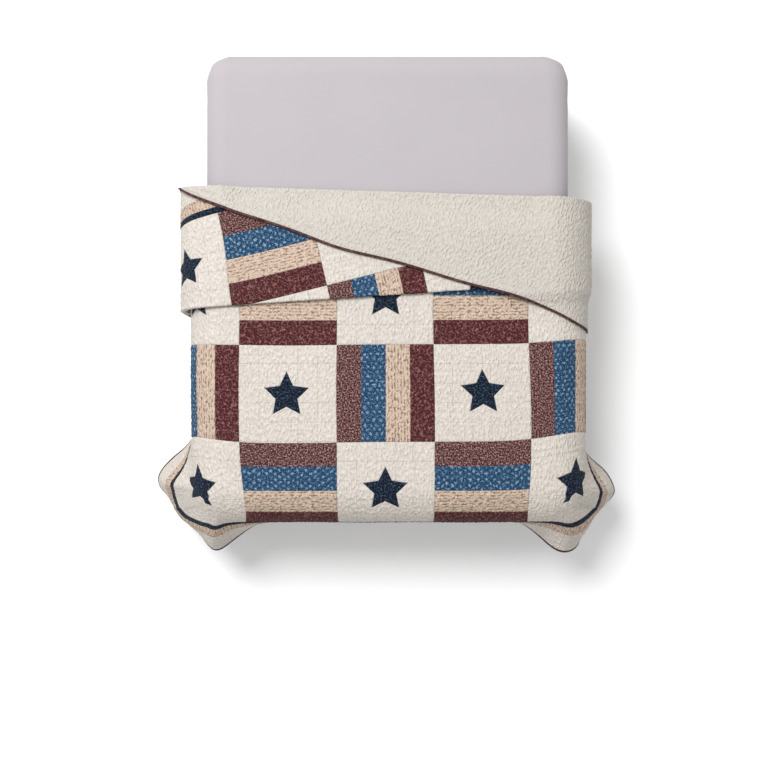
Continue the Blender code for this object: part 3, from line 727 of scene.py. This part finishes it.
class Looks:
    """A material whose node tree is built from short calls."""

    def __init__(self, name, roughness=0.9, sheen=0.0):
        self.material = bpy.data.materials.new(name)
        self.material.use_nodes = True
        self.tree = self.material.node_tree
        self.shader = self.tree.nodes["Principled BSDF"]
        self.shader.inputs["Roughness"].default_value = roughness
        self.shader.inputs["Specular IOR Level"].default_value = SPECULAR
        self.shader.inputs["Sheen Weight"].default_value = sheen
        self.shader.inputs["Sheen Roughness"].default_value = SHEEN_ROUGHNESS

    def feed(self, socket, value):
        """Link another node's output to a socket, or set the socket to a plain value."""
        if isinstance(value, bpy.types.NodeSocket):
            self.tree.links.new(value, socket)
        elif isinstance(value, tuple) and len(value) == 3 and socket.type == "RGBA":
            socket.default_value = (*value, 1.0)
        else:
            socket.default_value = value

    def add(self, kind, values):
        """A new node, with its sockets fed by name."""
        node = self.tree.nodes.new(kind)
        for name, value in values.items():
            self.feed(node.inputs[name], value)
        return node

    def math(self, operation, *values):
        node = self.tree.nodes.new("ShaderNodeMath")
        node.operation = operation
        for socket, value in zip(node.inputs, values):
            self.feed(socket, value)
        return node.outputs[0]

    def vary(self, base, noise, amount):
        """The base, raised or lowered by the noise."""
        return self.math("MULTIPLY_ADD", self.math("SUBTRACT", noise, 0.5), amount, base)

    def ease(self, value, low, high):
        """0 below low, 1 above high and smooth between; low may be above high."""
        node = self.add("ShaderNodeMapRange", {"Value": value, "From Min": low, "From Max": high})
        node.interpolation_type = "SMOOTHSTEP"
        return node.outputs["Result"]

    def mix(self, share, under, over):
        """One colour laid over another by a share from 0 to 1."""
        node = self.tree.nodes.new("ShaderNodeMix")
        node.data_type = "RGBA"
        self.feed(node.inputs[0], share)
        self.feed(node.inputs[6], under)
        self.feed(node.inputs[7], over)
        return node.outputs[2]

    def multiply(self, colour, share):
        node = self.tree.nodes.new("ShaderNodeVectorMath")
        node.operation = "SCALE"
        self.feed(node.inputs[0], colour)
        self.feed(node.inputs["Scale"], share)
        return node.outputs[0]

    def point(self, x, y, z=0.0):
        node = self.tree.nodes.new("ShaderNodeCombineXYZ")
        for socket, value in zip(node.inputs, (x, y, z)):
            self.feed(socket, value)
        return node.outputs[0]

    def split(self, place):
        """The three parts of a place."""
        node = self.add("ShaderNodeSeparateXYZ", {"Vector": place})
        return [node.outputs[name] for name in "XYZ"]

    def noise(self, where, scale, detail=2.0, roughness=0.5):
        values = {"Vector": where, "Scale": scale, "Detail": detail, "Roughness": roughness}
        return self.add("ShaderNodeTexNoise", values).outputs["Fac"]

    def cells(self, where, scale):
        """Distance to the edges of scattered cells."""
        node = self.add("ShaderNodeTexVoronoi", {"Vector": where, "Scale": scale})
        node.feature = "DISTANCE_TO_EDGE"
        return node.outputs["Distance"]

    def flat_place(self):
        """Cloth coordinates in metres, from the flat layout."""
        node = self.tree.nodes.new("ShaderNodeUVMap")
        node.uv_map = "OFBake"
        shares = self.split(node.outputs[0])[:2]
        return tuple(self.math("MULTIPLY_ADD", share, 2 * QUILT_HALF, -QUILT_HALF) for share in shares)

    def pieced_place(self, x, y):
        """Where a place lies in an even patchwork; the real blocks are a little uneven."""
        pieced = [x, y]
        for bump in PIECING_SLACK:
            steps = [self.math("SUBTRACT", value, middle) for value, middle in zip((x, y), bump["at"])]
            squares = [self.math("MULTIPLY", step, step) for step in steps]
            far = self.math("DIVIDE", self.math("ADD", *squares), -bump["reach"] ** 2)
            share = self.math("EXPONENT", far)
            moves = zip(bump["move"], pieced)
            pieced = [self.math("MULTIPLY_ADD", share, move, value) for move, value in moves]
        return pieced

    def to_line(self, value, pitch):
        """Distance from the nearest of evenly spaced lines, one of them at half a pitch."""
        share = self.math("SUBTRACT", self.math("FRACT", self.math("DIVIDE", value, pitch)), 0.5)
        return self.math("MULTIPLY", self.math("ABSOLUTE", share), pitch)

    def stitches(self, x, y):
        """1 on the straight stitch lines of both ways, fading to 0 beside them."""
        lines = [self.ease(self.to_line(value, STITCH_PITCH), STITCH_SHADE, 0.0) for value in (x, y)]
        return self.math("MAXIMUM", *lines)

    def object_place(self):
        """Place in the object's own metres."""
        node = self.tree.nodes.new("ShaderNodeTexCoord")
        return node.outputs["Object"]

    def bump(self, height, distance):
        node = self.add("ShaderNodeBump", {"Distance": distance, "Strength": 1.0, "Height": height})
        self.tree.links.new(node.outputs[0], self.shader.inputs["Normal"])

    def colour(self, value):
        self.feed(self.shader.inputs["Base Color"], value)


CREAM = (0.594, 0.551, 0.502)
# Darker cream for the puffs' furrows: painted shade
CREAM_PAINTED_SHADE = (0.498, 0.457, 0.411)
REVERSE = (0.508, 0.475, 0.432)
# Darker reverse for the puffs' furrows: painted shade
REVERSE_PAINTED_SHADE = (0.436, 0.404, 0.364)
BROWN_GROUND = (0.042, 0.014, 0.014)
BROWN_FLECK = (0.352, 0.203, 0.188)
BLUE_GROUND = (0.005, 0.028, 0.070)
BLUE_MID = (0.014, 0.066, 0.148)
BLUE_FLOWER = (0.225, 0.330, 0.420)
TAN_GROUND = (0.462, 0.356, 0.280)
TAN_LEAF = (0.185, 0.105, 0.065)
TAN_LIGHT = (0.580, 0.478, 0.392)
MAROON_GROUND = (0.053, 0.0105, 0.0115)
MAROON_LINE = (0.275, 0.140, 0.135)
NAVY_GROUND = (0.003, 0.006, 0.014)
NAVY_FLECK = (0.052, 0.082, 0.130)
BINDING_COLOUR = (0.038, 0.014, 0.014)
BINDING_LIGHT = (0.118, 0.066, 0.062)
SHEET_COLOUR = (0.366, 0.343, 0.358)
BASE_COLOUR = (0.560, 0.540, 0.510)


STITCH_SHADE = 0.0028
SEAM_SHADE = 0.0032
STAR_SHADE = 0.0030
GRAIN = 900.0
FLOWER_ALONG = 0.0165
FLOWER_OVER = 0.0225
FLOWER_DRIFT = 0.022
PETALS = 5.0
LEAF_ROWS = 0.0118
VEIN_DRIFT = 0.020
THREAD_RATE = 2600.0


def puff_height(looks, x, y):
    """The fine stitched puffs, soft cells longer along the cloth: 0 in their furrows, 1 on top."""
    x = looks.vary(x, looks.noise(looks.point(x, y), scale=45.0), 0.005)
    edge = looks.cells(looks.point(looks.math("MULTIPLY", x, 1.55), y), scale=50.0)
    narrow = looks.point(looks.math("MULTIPLY", x, 1.7), y)
    lumps = looks.noise(narrow, scale=66.0, detail=1.0, roughness=0.45)
    soft = looks.math("MULTIPLY", looks.ease(edge, 0.0, 0.46), 0.45)
    return looks.math("MULTIPLY_ADD", looks.ease(lumps, 0.24, 0.76), 0.70, soft)


def brown_print(looks, cloth):
    """Small pale flecks on brown."""
    turned = looks.point(cloth["along"], cloth["over"])
    flecks = looks.noise(turned, scale=165.0, detail=3.0, roughness=0.76)
    return looks.mix(looks.ease(flecks, 0.49, 0.60), BROWN_GROUND, BROWN_FLECK)


def blue_print(looks, cloth):
    """Pale torn flowers in staggered rows on mottled blue, with sprigs between them."""
    m = looks.math
    place = cloth["place"]
    mottle = looks.noise(place, scale=190.0, detail=3.0, roughness=0.65)
    blue = looks.mix(looks.ease(mottle, 0.40, 0.66), BLUE_GROUND, BLUE_MID)
    drift_along = looks.noise(place, scale=34.0, detail=1.0)
    drift_over = looks.noise(cloth["mirrored"], scale=34.0, detail=1.0)
    loose_along = m("MULTIPLY_ADD", drift_along, FLOWER_DRIFT, cloth["along"])
    loose_over = m("MULTIPLY_ADD", drift_over, FLOWER_DRIFT, cloth["over"])
    column = m("DIVIDE", loose_along, FLOWER_ALONG)
    stagger = m("MULTIPLY", m("FLOORED_MODULO", m("FLOOR", column), 2.0), 0.5)
    row = m("ADD", m("DIVIDE", loose_over, FLOWER_OVER), stagger)
    lattice_x = m("SUBTRACT", m("FRACT", column), 0.5)
    lattice_y = m("SUBTRACT", m("FRACT", row), 0.5)
    squares = m("MULTIPLY_ADD", m("POWER", lattice_x, 2.0), 0.55, m("POWER", lattice_y, 2.0))
    spin = m("ARCTAN2", lattice_x, lattice_y)
    petals = m("MULTIPLY_ADD", m("COSINE", m("MULTIPLY", spin, PETALS)), 0.07, 0.19)
    petals = looks.vary(petals, looks.noise(place, scale=210.0, detail=3.0, roughness=0.7), 1.10)
    flower = looks.ease(m("SUBTRACT", m("SQRT", squares), petals), 0.10, -0.06)
    flower = m("MULTIPLY", flower, looks.ease(looks.noise(place, scale=75.0), 0.34, 0.64))
    blue = looks.mix(flower, blue, BLUE_FLOWER)
    sprig = looks.ease(looks.noise(place, scale=230.0, detail=3.0, roughness=0.7), 0.55, 0.66)
    return looks.mix(m("MULTIPLY", sprig, 0.75), blue, BLUE_FLOWER)


def tan_print(looks, cloth):
    """Brown leaves in wavering rows on dappled tan."""
    m = looks.math
    along, over = cloth["along"], cloth["over"]
    waver = looks.noise(cloth["place"], scale=30.0)
    rows = m("SINE", m("MULTIPLY_ADD", waver, 4.5, m("MULTIPLY", over, 2 * math.pi / LEAF_ROWS)))
    long_place = looks.point(m("MULTIPLY", along, 0.45), over)
    leaf = looks.noise(long_place, scale=135.0, detail=3.0, roughness=0.66)
    leaf = looks.ease(m("MULTIPLY_ADD", rows, 0.055, leaf), 0.51, 0.60)
    dapple = looks.noise(looks.point(along, m("MULTIPLY", over, 2.2)), scale=120.0)
    ground = looks.mix(looks.ease(dapple, 0.45, 0.65), TAN_GROUND, TAN_LIGHT)
    return looks.mix(m("MULTIPLY", leaf, 0.86), ground, TAN_LEAF)


def maroon_print(looks, cloth):
    """Broken pale veins and a little dust on maroon."""
    m = looks.math
    place = cloth["place"]
    bent_x = m("MULTIPLY_ADD", looks.noise(place, scale=70.0), VEIN_DRIFT, cloth["x"])
    bent_y = m("MULTIPLY_ADD", looks.noise(cloth["mirrored"], scale=70.0), VEIN_DRIFT, cloth["y"])
    vein = looks.ease(looks.cells(looks.point(bent_x, bent_y), scale=82.0), 0.105, 0.015)
    vein = m("MULTIPLY", vein, looks.ease(looks.noise(place, scale=90.0), 0.35, 0.60))
    dust = looks.ease(looks.noise(place, scale=420.0), 0.56, 0.72)
    share = m("MAXIMUM", m("MULTIPLY", vein, 0.80), m("MULTIPLY", dust, 0.35))
    return looks.mix(share, MAROON_GROUND, MAROON_LINE)


def navy_print(looks, cloth):
    """Faint specks on navy."""
    speck = looks.ease(looks.noise(cloth["place"], scale=135.0, detail=4.0, roughness=0.75), 0.49, 0.64)
    return looks.mix(speck, NAVY_GROUND, NAVY_FLECK)


def star_outline(looks, x, y):
    """Distance outside a star's outline, from its middle; below zero is inside."""
    m = looks.math
    turned = m("FLOORED_MODULO", m("ADD", m("ARCTAN2", x, y), STAR_TENTH), 2 * STAR_TENTH)
    folded = m("ABSOLUTE", m("SUBTRACT", turned, STAR_TENTH))
    radius = m("SQRT", m("ADD", m("POWER", x, 2.0), m("POWER", y, 2.0)))
    run_x, run_y = star_run()
    out_x = m("SUBTRACT", m("MULTIPLY", radius, m("COSINE", folded)), STAR_RADIUS)
    out_y = m("MULTIPLY", radius, m("SINE", folded))
    return m("SUBTRACT", m("MULTIPLY", out_x, run_y), m("MULTIPLY", out_y, run_x))


def quilt_front_looks():
    """Patchwork, stars, borders and prints, worked out from the place in the flat cloth."""
    looks = Looks("quilt_patchwork", roughness=0.95, sheen=0.02)
    m = looks.math
    x, y = looks.flat_place()
    pieced_x, pieced_y = looks.pieced_place(x, y)
    block_x = m("ADD", m("DIVIDE", pieced_x, BLOCK), BLOCKS_HALF)
    block_y = m("ADD", m("DIVIDE", pieced_y, BLOCK), BLOCKS_HALF)
    column, row = m("FLOOR", block_x), m("FLOOR", block_y)
    in_x, in_y = m("FRACT", block_x), m("FRACT", block_y)
    striped = m("FLOORED_MODULO", m("ADD", column, row), 2.0)
    plain = m("SUBTRACT", 1.0, striped)
    upright = m("FLOORED_MODULO", row, 2.0)
    level = m("SUBTRACT", 1.0, upright)
    ring = m("SUBTRACT", m("MAXIMUM", m("ABSOLUTE", x), m("ABSOLUTE", y)), PIECED_HALF)
    outside = m("GREATER_THAN", ring, 0.0)
    inside = m("SUBTRACT", 1.0, outside)

    # Print coordinates: along the strip and over it, so that a print turns with its strip
    cloth = {
        "x": x,
        "y": y,
        "place": looks.point(x, y),
        "mirrored": looks.point(y, x),
        "along": m("ADD", m("MULTIPLY", x, level), m("MULTIPLY", y, upright)),
        "over": m("ADD", m("MULTIPLY", y, level), m("MULTIPLY", x, upright)),
    }
    pebble = puff_height(looks, x, y)
    # Cream is darker in the puffs' furrows: painted shade
    cream = looks.mix(pebble, CREAM_PAINTED_SHADE, CREAM)
    navy = navy_print(looks, cloth)
    tan = tan_print(looks, cloth)
    down = m("SUBTRACT", 1.0, in_y)
    strip_share = m("ADD", m("MULTIPLY", down, level), m("MULTIPLY", in_x, upright))
    strip = m("FLOOR", m("MULTIPLY", strip_share, STRIPS))
    stripes = brown_print(looks, cloth)
    for number, cover in enumerate((blue_print(looks, cloth), tan, maroon_print(looks, cloth))):
        stripes = looks.mix(m("GREATER_THAN", strip, number + 0.5), stripes, cover)

    star_x = m("MULTIPLY", m("SUBTRACT", in_x, 0.5), BLOCK)
    star_y = m("MULTIPLY", m("SUBTRACT", in_y, 0.5), BLOCK)
    star = star_outline(looks, star_x, star_y)
    patch = looks.mix(striped, looks.mix(m("LESS_THAN", star, 0.0), cream, navy), stripes)
    border = looks.mix(m("GREATER_THAN", ring, NAVY_BORDER), navy, tan)
    border = looks.mix(m("GREATER_THAN", ring, TAN_BORDER), border, cream)
    colour = looks.mix(outside, patch, border)

    strip_seam = looks.to_line(m("MULTIPLY_ADD", strip_share, BLOCK, STRIP / 2), STRIP)
    block_seam = m("MINIMUM", looks.to_line(pieced_x, BLOCK), looks.to_line(pieced_y, BLOCK))
    seam = m("MINIMUM", block_seam, m("ADD", strip_seam, plain))
    border_seam = m("ABSOLUTE", ring)
    for edge in (NAVY_BORDER, TAN_BORDER):
        border_seam = m("MINIMUM", border_seam, m("ABSOLUTE", m("SUBTRACT", ring, edge)))
    seam = m("ADD", m("MULTIPLY", seam, inside), m("MULTIPLY", border_seam, outside))
    seam_groove_shade = looks.ease(seam, SEAM_SHADE, 0.0)
    star_edge = looks.ease(m("ABSOLUTE", star), STAR_SHADE, 0.0)
    star_edge = m("MULTIPLY", star_edge, m("MULTIPLY", plain, inside))
    stitch = looks.stitches(x, y)
    grain = looks.noise(cloth["place"], scale=GRAIN)
    wash = looks.noise(cloth["place"], scale=9.0)

    # Painted shade: the colour is darkened along the seams and the stitch lines, where their grooves lie
    # in shade; grain and wash are random tone
    shade = m("MULTIPLY_ADD", seam_groove_shade, -0.05, 1.0)
    shade = m("MULTIPLY_ADD", stitch, -0.045, shade)
    shade = looks.vary(shade, grain, 0.22)
    shade = looks.vary(shade, wash, 0.10)
    # Painted shade: every patch and print is darker in the puffs' furrows
    shade = m("MULTIPLY", shade, m("MULTIPLY_ADD", pebble, 0.10, 0.93))
    looks.colour(looks.multiply(colour, shade))

    height = m("MULTIPLY", pebble, 0.95)
    for part, amount in ((seam_groove_shade, -0.28), (star_edge, -0.45), (stitch, -0.24), (grain, 0.08)):
        height = m("MULTIPLY_ADD", part, amount, height)
    looks.bump(height, 0.0041)
    return looks.material


def quilt_back_looks():
    """The plain cream reverse, with the same stitching."""
    looks = Looks("quilt_reverse", roughness=0.95, sheen=0.02)
    m = looks.math
    x, y = looks.flat_place()
    place = looks.point(x, y)
    pebble = puff_height(looks, x, y)
    grain = looks.noise(place, scale=GRAIN)
    wash = looks.noise(place, scale=7.0)
    stitch = looks.stitches(x, y)
    shade = looks.vary(looks.vary(1.0, grain, 0.18), wash, 0.06)
    # Painted shade: the reverse is darker along the stitch lines and, by its darker colour, in the
    # puffs' furrows
    shade = m("MULTIPLY_ADD", stitch, -0.01, shade)
    looks.colour(looks.multiply(looks.mix(pebble, REVERSE_PAINTED_SHADE, REVERSE), shade))
    looks.bump(m("MULTIPLY_ADD", grain, 0.08, m("MULTIPLY_ADD", stitch, -0.10, pebble)), 0.0043)
    return looks.material


def binding_looks():
    """Dark tape with a fine, uneven weave."""
    looks = Looks("binding_tape", roughness=0.9, sheen=0.02)
    m = looks.math
    place = looks.object_place()
    weave = looks.noise(place, scale=420.0, roughness=0.6)
    slow = looks.noise(place, scale=60.0)
    worn = looks.ease(m("MULTIPLY_ADD", slow, 0.5, m("MULTIPLY", weave, 0.6)), 0.46, 0.72)
    looks.colour(looks.mix(worn, BINDING_COLOUR, BINDING_LIGHT))
    looks.bump(weave, 0.0006)
    return looks.material


def sheet_looks():
    """Smooth pale cotton."""
    looks = Looks("mattress_cotton", roughness=0.8, sheen=0.08)
    place = looks.object_place()
    weave = looks.noise(place, scale=1100.0)
    slow = looks.noise(place, scale=5.0, detail=3.0)
    shade = looks.vary(looks.vary(1.0, slow, 0.06), weave, 0.05)
    looks.colour(looks.multiply(SHEET_COLOUR, shade))
    looks.bump(looks.math("MULTIPLY_ADD", weave, 0.1, slow), 0.002)
    return looks.material


def base_looks():
    """Pale woven cloth with slubs."""
    looks = Looks("base_weave", roughness=0.9, sheen=0.1)
    m = looks.math
    x, y, z = looks.split(looks.object_place())
    side = m("ADD", x, y)
    warp = m("SINE", m("MULTIPLY", side, THREAD_RATE))
    weft = m("SINE", m("MULTIPLY", z, THREAD_RATE))
    weave = m("MULTIPLY", warp, weft)
    slub = looks.noise(looks.point(side, m("MULTIPLY", z, 6.0)), scale=90.0, detail=3.0)
    shade = looks.vary(m("MULTIPLY_ADD", weave, 0.05, 0.95), slub, 0.25)
    looks.colour(looks.multiply(BASE_COLOUR, shade))
    looks.bump(m("MULTIPLY_ADD", weave, 0.4, slub), 0.0010)
    return looks.material


KEY_AT = (-2.40, 2.90, 7.4)
KEY_AIM = (0.1, -0.2, 0.6)
KEY_SIZE = 3.6
KEY_ENERGY = 650.0
WORLD_STRENGTH = 0.69
FLOOR_HALF = 9.0
FLOOR_HEIGHT = -0.001
FLOOR_COLOUR = (0.88, 0.88, 0.88)
FLOOR_GLOW = 0.04
WHITE = (1.0, 1.0, 1.0)


def camera_and_lights():
    """The camera straight above, a soft light from the upper left and a pale floor."""
    camera = bpy.data.objects.new("camera", bpy.data.cameras.new("camera"))
    camera.location = (*CAMERA_AT, MATTRESS_TOP + CAMERA_RISE)
    camera.data.sensor_width = SENSOR
    camera.data.lens = SENSOR * CAMERA_RISE / FRAME_WIDTH
    bpy.context.scene.collection.objects.link(camera)
    bpy.context.scene.camera = camera

    key = bpy.data.objects.new("key_light", bpy.data.lights.new("key_light", "AREA"))
    key.data.shape = "DISK"
    key.data.size = KEY_SIZE
    key.data.energy = KEY_ENERGY
    key.location = KEY_AT
    key.rotation_euler = (Vector(KEY_AIM) - Vector(KEY_AT)).to_track_quat("-Z", "Y").to_euler()
    bpy.context.scene.collection.objects.link(key)

    world = bpy.data.worlds.new("studio")
    world.use_nodes = True
    world.node_tree.nodes["Background"].inputs["Color"].default_value = (*WHITE, 1.0)
    world.node_tree.nodes["Background"].inputs["Strength"].default_value = WORLD_STRENGTH
    bpy.context.scene.world = world
    bpy.context.scene.view_settings.view_transform = "Standard"

    corners = [(FLOOR_HALF * x, FLOOR_HALF * y, FLOOR_HEIGHT) for x, y in CORNER_SIGNS]
    floor = mesh_object("floor", np.array(corners), np.array([[2, 3, 0, 1]]))
    looks = Looks("floor_paint", roughness=1.0)
    looks.colour(FLOOR_COLOUR)
    looks.shader.inputs["Specular IOR Level"].default_value = 0.0
    looks.shader.inputs["Emission Color"].default_value = (*WHITE, 1.0)
    looks.shader.inputs["Emission Strength"].default_value = FLOOR_GLOW
    floor.data.materials.append(looks.material)


camera_and_lights()

quilt_front = quilt_face("quilt_front", FRONT_ROWS, front=True)
quilt_front.data.materials.append(quilt_front_looks())
quilt_back = quilt_face("quilt_back", BACK_ROWS, front=False)
quilt_back.data.materials.append(quilt_back_looks())
binding = binding_strip()
binding.data.materials.append(binding_looks())
mattress = mattress_piece()
mattress.data.materials.append(sheet_looks())

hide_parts("quilt")
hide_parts("quilt")
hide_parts("binding")
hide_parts("mattress")
for piece in (quilt_front, quilt_back, binding, mattress):
    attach(piece, "root")

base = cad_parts["base"]
base.data.materials.clear()
base.data.materials.append(base_looks())
